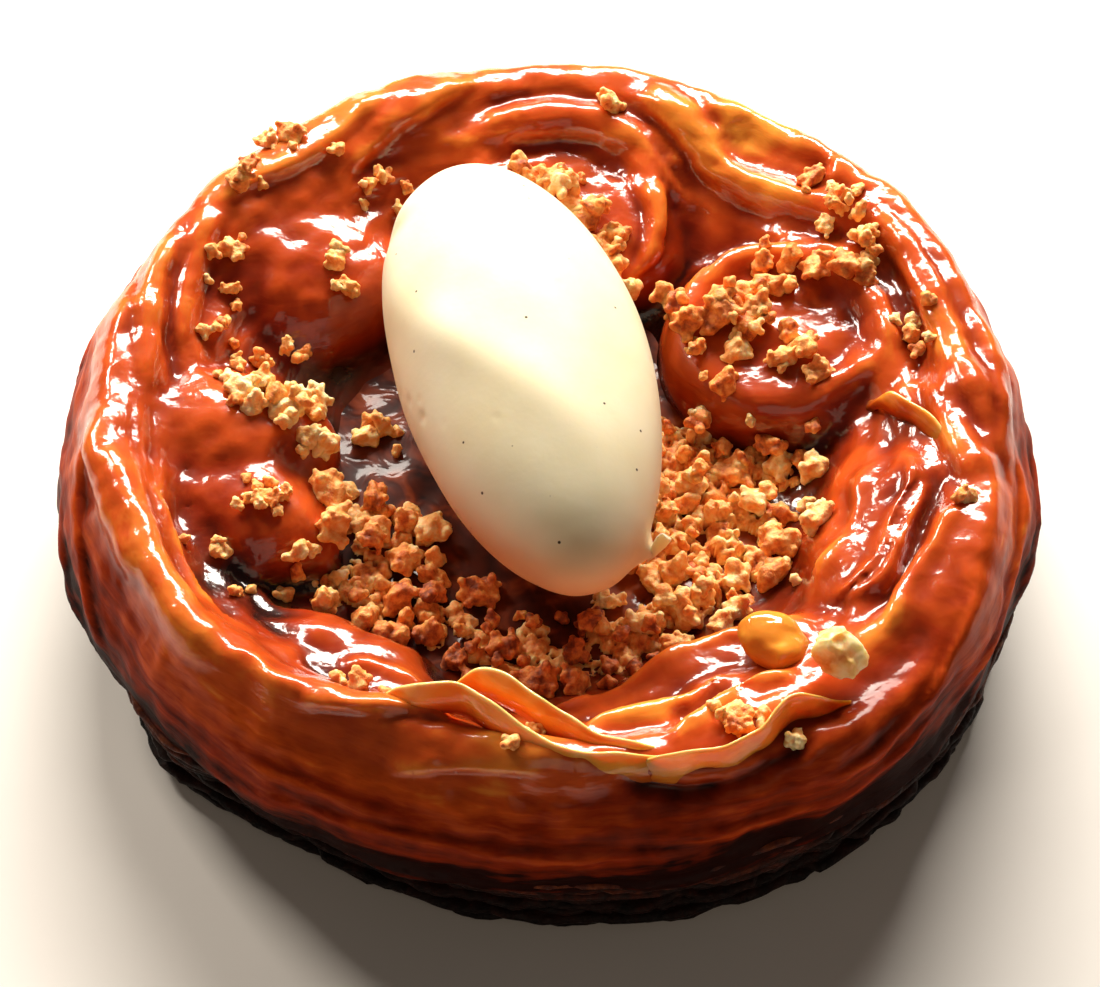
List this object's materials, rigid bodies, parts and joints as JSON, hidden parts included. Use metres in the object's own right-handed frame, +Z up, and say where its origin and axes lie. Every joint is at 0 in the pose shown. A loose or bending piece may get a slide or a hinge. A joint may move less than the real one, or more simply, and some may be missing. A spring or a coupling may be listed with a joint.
{
  "type": "tarte tatin",
  "caption": "Small round tarte tatin: caramelised apple ring and apple halves on a flaky pastry disc, with draped apple slices, crumble and a quenelle of vanilla cream.",
  "frame": {"origin": "middle of the flat underside of the pastry disc, on the surface it rests on", "axes": "+Z up out of the tart; +Y to its back and +X to its right, seen from the side where the drawn-out tip of the cream points, which is -Y and a little +X"},
  "size_m": [0.1143, 0.1138, 0.0416],
  "materials": {
    "pastry": "dark baked puff pastry, flaky and dry, stained by caramel",
    "caramelised_apple": "cooked apple under a wet caramel glaze",
    "glazed_apple": "translucent glazed apple, wet gloss",
    "caramel": "set dark caramel, glossy",
    "crumble": "baked butter crumble, rough and dry",
    "cream": "smooth vanilla cream with a soft sheen",
    "nut": "toasted nut piece, satin"
  },
  "bodies": {
    "root": {"pastry_base": "pastry", "apple_ring": "caramelised_apple", "caramel_pool": "caramel", "cream_quenelle": "cream", "nut_piece": "nut", "apple_half_back_left": "glazed_apple", "apple_half_left": "glazed_apple", "apple_half_back": "glazed_apple", "apple_half_right": "glazed_apple", "apple_piece_front_right": "glazed_apple", "apple_piece_front_left": "glazed_apple", "apple_bit": "glazed_apple", "slice_front_lip": "glazed_apple", "slice_front_inner": "glazed_apple", "slice_front_right": "glazed_apple", "slice_pit_front": "glazed_apple", "slice_right_inner": "glazed_apple", "slice_right": "glazed_apple", "slice_left_inner": "glazed_apple", "slice_back_swoosh": "glazed_apple", "slice_right_back": "glazed_apple", "slice_back_left": "glazed_apple", "crumble_in_pit": "crumble", "crumble_on_back_half": "crumble", "crumble_on_right_half": "crumble", "crumble_on_left_half": "crumble"}
  },
  "joints": []
}
